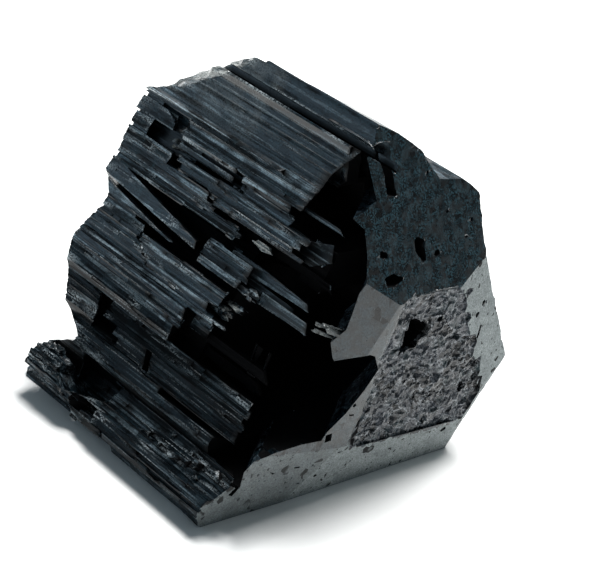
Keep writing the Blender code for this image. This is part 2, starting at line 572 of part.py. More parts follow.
def build_tip_block(group):
    """The space behind the faces of the tip and above the face that it rests on."""
    mesh = bpy.data.meshes.new("tip_block")
    form = bmesh.new()
    bmesh.ops.create_cube(form, size=BLOCK_SIZE)
    tilt = math.radians(REST_TILT)
    planes = [(Vector((0.0, 0.0, REST_Z)), Vector((0.0, math.sin(tilt), -math.cos(tilt))))]
    for turn, slope, distance in TIP_FACES:
        normal = face_normal(turn, slope)
        planes.append((normal * distance, normal))
    for point, normal in planes:
        geometry = list(form.verts) + list(form.edges) + list(form.faces)
        cut = bmesh.ops.bisect_plane(form, geom=geometry, plane_co=point, plane_no=normal,
                                     clear_outer=True)
        edges = [item for item in cut["geom_cut"] if isinstance(item, bmesh.types.BMEdge)]
        bmesh.ops.edgenet_fill(form, edges=edges)
    form.to_mesh(mesh)
    form.free()
    weld(mesh)
    return add_mesh("tip_block", mesh, group)


def interpolate(table, value):
    for (a, x_a), (b, x_b) in zip(table, table[1:]):
        if value <= b:
            share = max(0.0, (value - a) / (b - a))
            return x_a + (x_b - x_a) * share
    return table[-1][1]


def chipped(u, v, size, level, tilt):
    """A surface of flat, randomly tilted chips about as wide as size."""
    place = Vector((u / size, v / size, level))
    nearest = noise.voronoi(place)[1][0]
    chance = noise.cell_vector(nearest * CHANCE_SCALE)
    away = place - nearest
    return chance.z + tilt * ((chance.x - 0.5) * away.x + (chance.y - 0.5) * away.y)


def break_x(s, d):
    """Where the broken back lies behind a place on the side."""
    depth = max(d, 0.0)
    crust = interpolate(BREAK_EDGE, s) - CRUST_SLOPE * depth
    reach = BREAK_REACH if s < CRUST_END else BREAK_EDGE
    limit = interpolate(reach, s) - VIEW_SLOPE * depth
    relief = sum(share * (chipped(s, d, *chip) - 0.5) for share, *chip in BACK_CHIPS)
    swell = noise.noise(Vector((s * SWELL_PITCH, d * SWELL_PITCH, SWELL_LEVEL)))
    far = BACK_PLANE + BACK_SWELL * swell
    fade = min(depth / (BACK_FADE if s > CRUST_END else CRUST_FADE), 1.0)
    return max(crust, limit, far) + BACK_RELIEF * fade * relief


def blunt_x(y, z):
    """The etched relief of the blunt face; left of its edge the face is smooth."""
    relief = sum(share * chipped(y, z, *chip) for share, *chip in BLUNT_CHIPS)
    edge = (y - interpolate(BLUNT_EDGE, z)) / BLUNT_FADE
    if edge < 0.0:
        return BLUNT_CLEAR
    return -BLUNT_RELIEF * min(edge, 1.0) * relief


def rough_block(name, width, height, step, surface, far, axes, group):
    """A solid with one rough side: a grid that follows surface(u, v), closed at far."""
    u_low, u_high = width
    v_low, v_high = height
    columns = round((u_high - u_low) / step)
    rows = round((v_high - v_low) / step)
    mesh = bpy.data.meshes.new(name)
    form = bmesh.new()
    bmesh.ops.create_grid(form, x_segments=columns, y_segments=rows, size=1.0)
    for vert in form.verts:
        u = u_low + (vert.co.x + 1.0) / 2.0 * (u_high - u_low)
        v = v_low + (vert.co.y + 1.0) / 2.0 * (v_high - v_low)
        if not vert.is_boundary:
            shift = noise.cell_vector(Vector((u, v, 0.5)) * CHANCE_SCALE)
            u += (shift.x - 0.5) * GRID_UNEVEN * step
            v += (shift.y - 0.5) * GRID_UNEVEN * step
        vert.co = (u, v, surface(u, v))
    grown = bmesh.ops.extrude_face_region(form, geom=list(form.faces))
    for item in grown["geom"]:
        if isinstance(item, bmesh.types.BMVert):
            item.co.z = far
    bmesh.ops.dissolve_limit(form, angle_limit=0.001, verts=form.verts, edges=form.edges)
    form.to_mesh(mesh)
    form.free()
    mesh.transform(axes)
    weld(mesh)
    return add_mesh(name, mesh, group)


def build_cutters(group):
    for index, (outline, near, far) in enumerate(SIDE_CUTS):
        extruded(f"side_cut_{index}", outline, near, far, SIDE_AXES, group)
    for index, (outline, bottom) in enumerate(TIP_CUTS):
        cut = extruded(f"tip_cut_{index}", outline, bottom, PAST_TIP, COLUMN_AXES, group)
        if index:
            narrow_bottom(cut.data, CUT_TAPER)
    for index, (y, z, half_y, half_z, depth) in enumerate(TIP_PITS):
        outline = [(y + half_y * across, z + half_z * up) for across, up in PIT_CORNERS]
        bottom = tip_x(y, z) - depth
        pit = extruded(f"tip_pit_{index}", outline, bottom, PAST_TIP, COLUMN_AXES, group)
        narrow_bottom(pit.data, PIT_TAPER)
    extruded("edge_chip", EDGE_CHIP, EDGE_CHIP_BACK, PAST_TIP, COLUMN_AXES, group)
    build_lip_face(group)
    rough_block("broken_back", BACK_S, BACK_D, BACK_STEP, break_x, BACK_END, BACK_AXES, group)
    rough_block("blunt_face", BLUNT_Y, BLUNT_Z, BLUNT_STEP, blunt_x, BLUNT_END, COLUMN_AXES, group)


def build_lip_face(group):
    """What the face over the gap cuts away: a prism whose deep end lies in that face."""
    outline = [(FAR_LEFT, LIP_LOW), (-FAR_LEFT, LIP_LOW), (-FAR_LEFT, -FAR_LEFT), (FAR_LEFT, -FAR_LEFT)]
    prism = extruded("lip_face", outline, BACK_X, -BACK_X, COLUMN_AXES, group)
    for vert in prism.data.vertices:
        if vert.co.x < 0.0:
            vert.co.x = face_x(LIP_FACE, vert.co.y, vert.co.z)


def narrow_bottom(mesh, share):
    """Shrink the deep end of a cutter towards its own middle."""
    deep = min(vert.co.x for vert in mesh.vertices)
    bottom = [vert for vert in mesh.vertices if vert.co.x < deep + WELD]
    middle = sum((vert.co for vert in bottom), Vector()) / len(bottom)
    for vert in bottom:
        vert.co = middle + (vert.co - middle) * share


def tourmaline_material():
    material = bpy.data.materials.new("black_tourmaline")
    material.use_nodes = True
    shader = material.node_tree.nodes["Principled BSDF"]
    shader.inputs["Base Color"].default_value = (0.012, 0.014, 0.016, 1.0)
    shader.inputs["Roughness"].default_value = 0.22
    shader.inputs["Metallic"].default_value = 0.0
    shader.inputs["IOR"].default_value = 1.64
    return material


def stand_on_base(mesh):
    """Turn the crystal onto its resting face, put the origin under its middle, in metres."""
    mesh.transform(Matrix.Rotation(math.radians(-REST_TILT), 4, "X"))
    corners = [[f(vert.co[axis] for vert in mesh.vertices) for f in (min, max)] for axis in range(3)]
    (x_low, x_high), (y_low, y_high), (z_low, _) = corners
    mesh.transform(Matrix.Translation((-(x_low + x_high) / 2.0, -(y_low + y_high) / 2.0, -z_low)))
    mesh.transform(Matrix.Scale(MM, 4))


def main():
    clear_scene()
    crystal_group = new_collection(NAME)
    hollow = new_collection("hollow")
    columns = new_collection("columns")
    tip = new_collection("tip_faces")
    cutters = new_collection("cutters")
    crystal = build_core(crystal_group)
    build_hollow(hollow)
    combine(crystal, hollow, "DIFFERENCE")
    build_columns(columns)
    combine(crystal, columns, "UNION")
    build_tip_block(tip)
    combine(crystal, tip, "INTERSECT")
    build_cutters(cutters)
    combine(crystal, cutters, "DIFFERENCE")
    stand_on_base(crystal.data)
    crystal.name = NAME
    crystal.data.name = NAME
    crystal.hide_render = False
    crystal.display_type = "TEXTURED"
    crystal.data.materials.clear()
    crystal.data.materials.append(tourmaline_material())
    return crystal


if __name__ == "__main__":
    main()
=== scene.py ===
"""A stout black tourmaline crystal with one broken, gaping side, on a pale table in soft light.

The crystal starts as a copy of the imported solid. Growth ridges, small break-outs and etched
chips are cut into that copy, and the marks that the finish follows are kept on its points
and faces.
Lengths inside the crystal are in millimetres, in the crystal's own frame: x runs along its
growth axis and is 0 at the blunt end, s runs down the broken side and d runs into it.
"""

import math
import random

import bmesh
import bpy
import numpy as np
from mathutils import Matrix, Vector


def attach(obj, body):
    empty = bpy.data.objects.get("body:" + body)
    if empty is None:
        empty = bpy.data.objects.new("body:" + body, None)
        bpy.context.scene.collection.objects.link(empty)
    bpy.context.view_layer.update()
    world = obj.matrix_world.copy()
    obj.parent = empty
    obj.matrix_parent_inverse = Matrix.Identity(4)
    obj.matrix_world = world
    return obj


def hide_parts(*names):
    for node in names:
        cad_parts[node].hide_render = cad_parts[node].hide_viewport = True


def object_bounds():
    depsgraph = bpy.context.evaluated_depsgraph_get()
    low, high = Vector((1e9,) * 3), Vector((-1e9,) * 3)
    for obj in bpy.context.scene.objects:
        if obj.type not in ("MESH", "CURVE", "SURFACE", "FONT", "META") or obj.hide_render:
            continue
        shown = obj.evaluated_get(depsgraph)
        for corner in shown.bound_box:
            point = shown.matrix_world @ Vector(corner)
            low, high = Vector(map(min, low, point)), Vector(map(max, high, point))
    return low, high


bl_info = {
    "name": "Black Tourmaline Crystal",
    "version": (1, 0, 0),
    "blender": (4, 5, 0),
    "location": "3D View > Sidebar > Crystal",
    "description": "Makes a black tourmaline crystal and the table and lights around it",
    "category": "Add Mesh",
}

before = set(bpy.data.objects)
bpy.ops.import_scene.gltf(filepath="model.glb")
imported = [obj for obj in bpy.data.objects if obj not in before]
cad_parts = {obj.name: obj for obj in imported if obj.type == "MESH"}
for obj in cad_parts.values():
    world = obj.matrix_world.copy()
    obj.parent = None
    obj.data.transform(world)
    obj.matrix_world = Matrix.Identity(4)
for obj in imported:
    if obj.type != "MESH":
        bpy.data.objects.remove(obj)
CAD_LOW, CAD_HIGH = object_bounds()
NODE = "tourmaline_crystal"
PIECE = "crystal"
MM = 0.001

# The crystal's own frame in the row's frame
REST_TILT = math.radians(3.6)            # it lies on a face that is turned this far
REST_DROP = 15.77 * MM                   # height of the middle of the blunt end above the table
RIGHT_CORNER = 19.29 * MM                # from that middle to the crystal's right corner
TIP = Vector((CAD_HIGH.x, CAD_HIGH.y - RIGHT_CORNER, REST_DROP))
TURN = Matrix.Rotation(-REST_TILT, 3, "X")

# The broken side: the place where s and d start, and the way s and d run, as (y, z)
SIDE_TOP = np.array((-8.5, 26.25))
SIDE_TURN = math.radians(152.6)
SIDE_IN = np.array((-math.cos(SIDE_TURN), -math.sin(SIDE_TURN)))
SIDE_DOWN = np.array((SIDE_IN[1], -SIDE_IN[0]))

# Faces of the tip: turn around the growth axis, slope and distance from the tip's middle
TIP_FACES = ((0.0, 0.0, 0.0), (90.0, 27.3, 4.63), (330.0, 27.3, 6.62), (30.0, 14.5, 2.05),
             (270.0, 14.5, 2.28), (262.8, 13.4, 2.41), (150.0, 14.5, 2.63))
BLUNT, STEEP, LIP = 0, 1, 6              # the etched blunt face, the large face and the lip's face
FROST = np.array((0.17, 0.0, 0.9, 1.0, 0.95, 0.55, 0.12))  # how frosted each of them is
LIP_LOW = -2.0                           # the lip's face ends at this z

# Left border of the etched part of the blunt face, as y at a few z
ETCHED_Z = (-10.0, -9.4, -8.1, -3.8, 0.0, 2.5, 6.3, 9.8)
ETCHED_Y = (-10.0, -8.1, -7.9, -7.6, -7.5, -7.5, -6.3, -5.6)
ETCHED_EDGE = (-0.2, 0.3)                # the etching starts and is full this far past that border
ETCHED_HALF_HEIGHT = 10.6                # how far up and down it reaches
ETCHED_RIGHT = 13.8                      # where it ends, as y
ETCHED_DEEPEST = -2.0                    # and as x
CHIPPED_OFF = 0.06                       # a place this far behind the tip's faces is a chip

# The rough knob at the low back corner, as x, s and d, and its reach
KNOB = ((-34.0, 44.5, 0.0), (7.5, 4.4, 6.0))
BACK_LEAN = -0.25                        # faces that look back this much belong to the broken back
BACK_FROM = -22.0                        # and lie behind this x
SIDE_LEAN = 0.3                          # faces that lean less along the growth axis are its sides
DEEP_LEAN = 0.8                          # sides that look this much along s are cut by depth
ON_TIP = 0.3                             # faces less far behind the tip's faces belong to the tip
TIP_LEAN = 0.5                           # and look forward at least this much
FAR = 99.0                               # past everything on the crystal
NEAR_FULL = 0.7                          # a place is full up to this share of its reach

# Painted shade in the gaps of the broken side, each as where it starts and where it is full
GAP_DEPTH = (2.6, 4.6)                   # depth inside the column's outline
GAP_ENDS = (0.3, 0.5)                    # how far broken ends look forward
GAP_ENDS_FROM = -30.0                    # such ends are dark in front of this x
GAP_BEHIND_TIP = (0.15, 0.4)             # depth behind the faces of the tip

# Pale crust at the top of the back, and pale chips: middle and reach as x, s and d, how pale,
# and whether crumbs break the patch up
CRUST_FROM = -27.0                       # it lies behind this x
CRUST_LEAN = (-0.1, 0.4)                 # how far its faces look back, from bare to full
CRUST_SPAN = (9.0, 3.0)                  # s where it starts and where it is full
CRUST_PATCHES = (-0.6, 0.3)
CRUMB_PATCHES = (-0.3, 0.4)
PALE_CHIPS = (((-16.6, 16.3, 1.2), (2.6, 1.1, 1.6), 1.0, False),
              ((-15.2, 25.2, 1.2), (2.2, 1.6, 1.4), 1.0, True),
              ((-3.0, 20.4, 2.4), (1.6, 1.6, 2.0), 0.6, False),
              ((-38.5, 11.6, 1.4), (2.2, 1.2, 1.4), 0.4, False))

# Making the mesh fine
MERGE_WITHIN = 0.001                     # points of the solid this close are one
FLAT_WITHIN = math.radians(0.3)          # faces that fold less than this are one
FIRST_DRAW = 20                          # seed of the uneven steps
EXTRA_CUTS = 2                           # on the back, the knob and the etched part
SIDE_ROWS = (-6.0, 52.0)                 # rows down the broken side, as s
DEEP_ROWS = (-3.0, 46.0)                 # rows on the sides that run into the crystal, as d
DEEP_ROW_SHARE = 1.6                     # how much wider those are
RINGS = (-47.0, -1.0)                    # rings across the growth axis, as x
SIDE_RING_STEPS = (1.2, 3.2)
DEEP_RING_STEPS = (2.4, 6.0)
TIP_ROWS = (((0.94, 0.34), -36.0, 30.0), ((-0.34, 0.94), -51.0, 12.0))  # way, start and end
TIP_PITCH = 0.7
TIP_SKIN = 0.1                           # faces less far behind the tip's faces get the grid

# Flakes broken out of the ridges: share, depth, length and width of a flake, and seed
FLAKES = ((0.06, 0.13, (7.0, 0.4), 31), (0.04, 0.10, (2.6, 0.25), 41))
FLAKE_DEEP_CELL = 3.0
FLAKE_LEAN = 0.2                         # flakes leave faces that lean less than this
FLAKE_OUTWARD = -0.6                     # and that look out of the broken side
FLAKE_LEAST_AREA = 0.02                  # in square millimetres
FLAKES_FROM = (6.0, 9.0)                 # s where they start and where they are full
BUNCH_CELL = (9.0, 3.5, 3.5)
BUNCHING = 1.4

# Smooth noises: the size of a cell along x, y and z, and the seed
SMOOTH = {
    "ridges": ((14.0, 0.42, 0.42), 3),
    "fine ridges": ((14.0 / 1.6, 0.42 / 2.3, 0.42 / 2.3), 4),
    "waves": ((40.0, 1.7, 1.7), 5),
    "wear_and_highlight": ((2.4, 0.8, 0.8), 12),
    "crust": ((1.2, 1.2, 1.2), 13),
    "splinters": ((6.0, 0.7, 0.7), 21),
    "banding": ((9.0, 2.0, 2.0), 33),
}
# Chip noises: the size of a cell, and the seed
CHIPS = {
    "back": (1.3, 7),
    "fine back": (0.55, 8),
    "etched": (0.8, 17),
    "fine etched": (0.42, 18),
    "crumbs": (0.9, 25),
}
CHIP_HEIGHT, CHIP_TILT = 1.4, 2.2

# Relief: the shares of the coarse and the fine noise, and the level that stays where it was
RIDGE_SHARES, RIDGE_LEVEL, WAVE_LEVEL = (0.65, 0.35), 1.0, 0.8
GRIT_SHARES, GRIT_LEVEL, KNOB_SHARE = (0.35, 0.2), 0.1, 0.8
ETCH_SHARES, ETCH_LEVEL = (0.6, 0.4), 0.7
RIDGES_BEHIND_TIP = (0.0, 0.2)           # the ridges start and are full this far behind the tip
CALM_BACK, CALM_SHARE = (-45.0, -37.0), 0.25    # they flatten towards the back end
GRIT_LEAN = (0.1, 0.5)                   # how far gritty faces look back, from bare to full
GRIT_BESIDE_SIDES = (0.5, 0.1)           # share of side faces around a point, from bare to full

# Marks for the finish
TIP_FADE = (0.6, 0.2)                    # depth behind the tip where its finish starts and is full
# Pale wear and painted highlights on convex edges: how sharply they fold, from bare to full, and their
# patches
EDGE_WEAR_AND_HIGHLIGHT_FOLD = (math.radians(18.0), math.radians(75.0))
EDGE_WEAR_AND_HIGHLIGHT_PATCHES = (-0.1, 0.6)
BANDING_FROM = (3.5, 6.5)                # s where the pale bands start and are full
BANDING_UNEVEN, BANDING_LEAST = 1.5, 0.3
SPLINTERED_FROM, SPLINTERED_UNEVEN = 29.5, 2.5  # s where it has splintered and painted shade darkens it
SPLINTERED_DEPTH = 6.0
SPLINTERED_BEHIND_TIP = 0.4
GAP_SHADE_FACES = 0.7                           # faces this far in the painted shade of the gaps get its near-black material

# Camera, in the crystal's frame
EYE = Vector((145.86, -178.64, 113.15))
EYE_RIGHT = Vector((0.643, 0.738, 0.204))
EYE_BACK = Vector((0.623, -0.660, 0.419))
SENSOR_WIDTH = 36.0

# Table and lamps in metres: place, size and colour
TABLE_SIZE = 6.0
KEY_LAMP = ((-0.2, 0.455, 0.8), (0.45, 0.45), "#FFFFFF")
SIDE_PANEL = ((-0.62, -0.72, 0.36), (1.1, 0.2), "#BADCF6")
LAMPS_AIM = Vector((0.0, 0.0, 0.02))
SKY_COLOUR = "#D9ECF6"

# The repeatable numbers of hashed
CELL_PRIMES = (73856093, 19349663, 83492791)
SEED_PRIME = 2654435
MIXERS = ((13, 1274126177), (11, 668265263))
LOW_16_BITS, LOW_31_BITS = 0xFFFF, 0x7FFFFFFF


# ---------------------------------------------------------------- places and noise

def to_row(place):
    """A place in the crystal's frame, in the row's frame and metres."""
    return TIP + TURN @ (Vector(place) * MM)


def to_crystal(points):
    """Points of the row's frame as x, y, z in the crystal's frame."""
    return (points - np.array(TIP)) @ np.array(TURN) / MM


def side_coordinates(points):
    """s and d of points given in the crystal's frame."""
    away = points[:, 1:] - SIDE_TOP
    return away @ SIDE_DOWN, away @ SIDE_IN


def plane_across(x):
    """Point and normal of the plane across the growth axis at one x, in the row's frame."""
    return to_row((x, 0.0, 0.0)), Vector((1.0, 0.0, 0.0))


def plane_along(way, distance):
    """The plane along the growth axis, distance away from SIDE_TOP in the way given."""
    y, z = SIDE_TOP + way * distance
    return to_row((0.0, y, z)), TURN @ Vector((0.0, *way))


def hashed(cells, seed):
    """A repeatable number from 0 to 1 for each whole-numbered cell."""
    grid = cells.astype(np.int64) & LOW_16_BITS
    number = seed * SEED_PRIME
    for axis, prime in enumerate(CELL_PRIMES):
        number = number ^ (grid[:, axis] * prime)
    for shift, mixer in MIXERS:
        number = (number ^ (number >> shift)) * mixer & LOW_31_BITS
    return ((number >> 7) & LOW_16_BITS) / LOW_16_BITS


def smooth_noise(places, seed):
    """Noise from -1 to 1 that changes smoothly from cell to cell."""
    base = np.floor(places)
    share = places - base
    share = share * share * (3.0 - 2.0 * share)
    total = np.zeros(len(places))
    for corner in np.ndindex(2, 2, 2):
        step = np.array(corner)
        weight = np.prod(np.where(step, share, 1.0 - share), axis=1)
        total += weight * hashed(base + step, seed)
    return 2.0 * total - 1.0


def chip_noise(places, seed):
    """Flat chips with random heights and tilts, from about -1 to 1, each about one cell wide."""
    base = np.floor(places)
    nearest = np.full(len(places), FAR)
    height = np.zeros(len(places))
    for step in np.ndindex(3, 3, 3):
        cell = base + np.array(step) - 1.0
        middle = cell + np.stack([hashed(cell, seed + k) for k in range(3)], axis=1)
        away = places - middle
        distance = np.sum(away * away, axis=1)
        tilt = sum((hashed(cell, seed + 5 + k) - 0.5) * away[:, k] for k in range(3))
        here = CHIP_HEIGHT * (hashed(cell, seed + 9) - 0.5) + CHIP_TILT * tilt
        closer = distance < nearest
        nearest = np.where(closer, distance, nearest)
        height = np.where(closer, here, height)
    return height


def smooth(places, name):
    """One of the smooth noises, from -1 to 1."""
    cell, seed = SMOOTH[name]
    return smooth_noise(places / np.array(cell), seed)


def chips(places, name):
    """One of the chip noises, from about -1 to 1."""
    cell, seed = CHIPS[name]
    return chip_noise(places / cell, seed)


def ramp(value, start, end):
    """0 at start, 1 at end."""
    return np.clip((value - start) / (end - start), 0.0, 1.0)


def near(places, middle, reach):
    """1 in the middle of a place given as x, s and d, falling to 0 at its reach."""
    s, d = side_coordinates(places)
    away = (np.stack([places[:, 0], s, d], axis=1) - np.array(middle)) / np.array(reach)
    return ramp(np.linalg.norm(away, axis=1), 1.0, NEAR_FULL)


# ---------------------------------------------------------------- zones of the crystal

def tip_surface(places):
    """How far behind the faces of the tip each place lies, and which face is over it."""
    reach = []
    for index, (turn, slope, distance) in enumerate(TIP_FACES):
        lean = math.sin(math.radians(slope))
        across = lean * math.cos(math.radians(turn)) * places[:, 1]
        across += lean * math.sin(math.radians(turn)) * places[:, 2]
        x = (distance - across) / math.cos(math.radians(slope))
        reach.append(np.where(places[:, 2] < LIP_LOW, FAR, x) if index == LIP else x)
    return np.min(reach, axis=0) - places[:, 0], np.argmin(reach, axis=0)


def turn_of(first, second, third):
    """Positive where the way through three (y, z) points turns left."""
    return ((second[0] - first[0]) * (third[1] - first[1])
            - (second[1] - first[1]) * (third[0] - first[0]))


def column_depth(places):
    """How far each place lies inside the column's outline, gaps in the outline bridged."""
    points = sorted({(round(float(y), 2), round(float(z), 2)) for y, z in places[:, 1:]})
    border = []
    for way in (points, points[::-1]):
        chain = []
        for point in way:
            while len(chain) > 1 and turn_of(chain[-2], chain[-1], point) <= 0.0:
                chain.pop()
            chain.append(point)
        border += chain[:-1]
    depth = np.full(len(places), FAR)
    for start, end in zip(border, border[1:] + border[:1]):
        along = np.array(end) - np.array(start)
        inward = np.array((-along[1], along[0])) / np.linalg.norm(along)
        depth = np.minimum(depth, (places[:, 1:] - np.array(start)) @ inward)
    return depth


def gap_shade_share(places, outward):
    """Painted shade: 1 in the gaps of the broken side, where little light comes, and 0 on the open faces."""
    behind, _ = tip_surface(places)
    inside = ramp(column_depth(places), *GAP_DEPTH) * (outward[:, 0] > BACK_LEAN)
    ends = ramp(outward[:, 0], *GAP_ENDS) * (places[:, 0] > GAP_ENDS_FROM)
    shown = np.maximum(etched_share(places), pale_share(places, outward))
    return np.maximum(inside, ends) * ramp(behind, *GAP_BEHIND_TIP) * (1.0 - shown)


def etched_share(places):
    """1 on the etched part of the blunt end, 0 on the smooth strip beside it."""
    behind, face = tip_surface(places)
    border = np.interp(places[:, 2], ETCHED_Z, ETCHED_Y)
    around = ((np.abs(places[:, 2]) < ETCHED_HALF_HEIGHT) & (places[:, 1] < ETCHED_RIGHT)
              & (places[:, 0] > ETCHED_DEEPEST))
    open_to_it = (face == BLUNT) | (behind > CHIPPED_OFF)
    return around * open_to_it * ramp(places[:, 1] - border, *ETCHED_EDGE)


def pale_share(places, outward):
    """1 on the pale crust at the top of the back and on the pale chips and crumbs."""
    s, _ = side_coordinates(places)
    crust = ramp(-outward[:, 0], *CRUST_LEAN) * ramp(s, *CRUST_SPAN) * (places[:, 0] < CRUST_FROM)
    pale = crust * ramp(smooth(places, "crust"), *CRUST_PATCHES)
    for middle, reach, share, crumbled in PALE_CHIPS:
        patch = near(places, middle, reach) * share
        if crumbled:
            patch = patch * ramp(chips(places, "crumbs"), *CRUMB_PATCHES)
        pale = np.maximum(pale, patch)
    return pale


# ---------------------------------------------------------------- settings

class CrystalSettings(bpy.types.PropertyGroup):
    """Sizes and colours of the crystal."""
    row_min: bpy.props.FloatProperty(
        name="Narrowest Ridge", default=0.13, description="Narrowest growth ridge, in millimetres")
    row_max: bpy.props.FloatProperty(
        name="Widest Ridge", default=0.42, description="Widest growth ridge, in millimetres")
    ridge_height: bpy.props.FloatProperty(
        name="Ridge Height", default=0.055, description="Height of the growth ridges, in millimetres")
    wave_height: bpy.props.FloatProperty(
        name="Wave Height", default=0.12, description="Height of the broad swells, in millimetres")
    back_grit: bpy.props.FloatProperty(
        name="Back Grit", default=0.5, description="Relief of the broken back, in millimetres")
    etch_depth: bpy.props.FloatProperty(
        name="Etch Depth", default=0.3, description="Relief of the etched blunt end, in millimetres")
    body_colour: bpy.props.StringProperty(
        name="Body Colour", default="#1F2E37", description="Black of the crystal, as sRGB hex")
    streak_colour: bpy.props.StringProperty(
        name="Streak Colour", default="#A6BBC6", description="Pale streaks along the ridges, as sRGB hex")
    frost_colour: bpy.props.StringProperty(
        name="Frost Colour", default="#A8AFAF", description="Grey of the frosted faces, as sRGB hex")
    pale_colour: bpy.props.StringProperty(
        name="Pale Colour", default="#A9ACA8", description="Pale crust and crumbs, as sRGB hex")


class StageSettings(bpy.types.PropertyGroup):
    """Table, lights and camera."""
    lens: bpy.props.FloatProperty(
        name="Lens", default=123.0, unit="CAMERA", description="Focal length of the camera")
    table_colour: bpy.props.StringProperty(
        name="Table Colour", default="#F4F4F2", description="Colour of the table, as sRGB hex")
    key_power: bpy.props.FloatProperty(
        name="Key Power", default=22.0, unit="POWER", description="Power of the large lamp overhead")
    panel_power: bpy.props.FloatProperty(
        name="Panel Power", default=1.0, unit="POWER", description="Power of the low panel on the left")
    ambient: bpy.props.FloatProperty(
        name="Ambient", default=0.165, min=0.0, description="Strength of the light from all round")


# ---------------------------------------------------------------- materials

# Patterns of the crystal's finish: size across and along the growth axis, and detail
PATTERNS = {
    "hairs": (0.12, 4.0, 3.0),           # fine growth lines
    "bands": (0.5, 22.0, 2.0),           # long bands of such lines
    "patches": (1.3, 3.6, 3.0),          # stretches that hold more or less dust
    "flecks": (0.22, 0.22, 3.0),         # dust, drawn as coarse as it needs to show
    "specks": (0.7, 0.7, 2.0),           # small dark pits
    "clouds": (1.6, 1.6, 4.0),           # blotches
    "fields": (5.0, 5.0, 2.0),           # where the pits of the tip gather
}
# Patterns of straight-sided cells: size, what is read from them, and its socket
CELLS = {
    "chips": (2.2, "F1", "Color"),
    "rims": (2.2, "DISTANCE_TO_EDGE", "Distance"),
    "pits": (0.9, "F1", "Color"),
}
MARKS = ("banded", "wear_and_highlight", "steep", "frosted", "etched", "pale", "gap_shade")

# A place in the finish is a list of patterns and marks, and their product says how strong it is.
# Each is stretched so that its first two numbers become 0 and 1, or the last two if there are
# four. A layer is a colour and its place, and a finish is its dark colour, the place of its light
# colour, and its layers
GROWN = ("#060B10", (("patches", 0.42, 0.58),), (
    ("#1D3038", ("clouds", 0.5, 0.6, 0.0, 0.7)),
    ("#020406", ("flecks", 0.5, 0.42, 0.0, 0.8))))
STEEP_FACE = ("#010203", (("flecks", 0.45, 0.57),), (
    ("#050A0D", ("clouds", 0.45, 0.6, 0.0, 0.6)),
    ("#010203", ("specks", 0.6, 0.63))))
FROSTED = ("#6C7475", (("flecks", 0.3, 0.7),), (
    ("#3E4447", ("clouds", 0.65, 0.35, 0.0, 0.3)),
    ("#0B0D0F", ("specks", 0.66, 0.69))))
ETCHED = ("#13161A", (("chips", 0.32, 0.7),), (
    ("#22363A", ("clouds", 0.5, 0.6, 0.0, 0.7)),
    ("#020304", ("chips", 0.34, 0.33)),
    ("#0A0C0E", ("flecks", 0.5, 0.42, 0.0, 0.6)),
    ("#8E9297", ("rims", 0.06, 0.02), ("clouds", 0.44, 0.56), ("flecks", 0.4, 0.5)),
    # pale wear and painted highlights on the convex edges of the chips
    ("#A4A8AD", ("wear_and_highlight",), ("flecks", 0.46, 0.58, 0.0, 0.6))))
PALE = ("#4B4E4E", (("flecks", 0.35, 0.6),), ())
# The colour of the painted shade low on the broken side, and the light colours of the steep face and the
# etched end
PAINTED_SHADE_COLOUR, STEEP_COLOUR, ETCHED_COLOUR = "#010203", "#243B43", "#474B52"
# Lines along the growth axis: dark furrows, and pale streaks of dust and painted highlights
DARK_LINES = ("#000102", ("hairs", 0.46, 0.4), ("bands", 0.5, 0.46), ("banded",))
STREAKS = (("bands", 0.53, 0.62), ("hairs", 0.38, 0.6, 0.35, 1.0), ("flecks", 0.38, 0.54, 0.4, 1.0),
           ("banded",))
STREAK_PATCHES, STREAK_LEAST = (0.38, 0.56), 0.15
# Pale wear and painted highlights on convex edges, dark pits on the tip, and the painted shade of the gaps
EDGE_WEAR_AND_HIGHLIGHT = ("#B4BEC2", ("wear_and_highlight",), ("flecks", 0.42, 0.58))
TIP_PITS = ("#020304", ("pits", 0.24, 0.22), ("fields", 0.5, 0.54), ("banded", 0.25, 0.0))
PAINTED_GAP_SHADE = ("#020203", ("gap_shade",))

# Name, gloss, share of streaks, and how far painted shade darkens its colour
SCHORL_FINISHES = (("schorl_as_grown", 0.35, 1.0, 0.0), ("schorl_splintered_painted_shade", 0.1, 0.3, 0.5))
MIX_UNDER, MIX_OVER, MIX_RESULT = 6, 7, 2    # the Mix node's sockets for colours
GROWN_ROUGHNESS = (("patches", 0.35, 0.65, 0.16, 0.36),)
DULL_ROUGHNESS = 0.9                     # frosted faces and the dark of the gaps
SCHORL_IOR = 1.64
BUMP_DEPTH = 0.03 * MM
HAIR_BUMP, FLECK_BUMP = 0.8, 0.5
# The material of the painted gap shade: grain, two near-black colours, roughness and gloss
GAP_GRAIN, GAP_SHADE_COLOURS, GAP_ROUGHNESS, GAP_GLOSS = (0.5, 0.5, 3.0), ("#010102", "#08090B"), 0.95, 0.1
TABLE_GRAIN, TABLE_SHADE, TABLE_ROUGHNESS = (10.0 / 9.0, 10.0 / 9.0, 2.0), "#D8D8D6", 0.6
TABLE_SPECKLE = (("grain", 0.3, 0.7, 0.0, 0.04),)


def linear(hex_colour):
    """An sRGB hex colour as linear RGBA."""
    values = [int(hex_colour[i:i + 2], 16) / 255.0 for i in (1, 3, 5)]
    return (*[v / 12.92 if v <= 0.04045 else ((v + 0.055) / 1.055) ** 2.4 for v in values], 1.0)


def node(tree, kind, settings=None, inputs=None):
    """Add a node, set its properties, and set or link its inputs."""
    made = tree.nodes.new(kind)
    for name, value in (settings or {}).items():
        setattr(made, name, value)
    for name, value in (inputs or {}).items():
        if isinstance(value, bpy.types.NodeSocket):
            tree.links.new(value, made.inputs[name])
        else:
            made.inputs[name].default_value = value
    return made


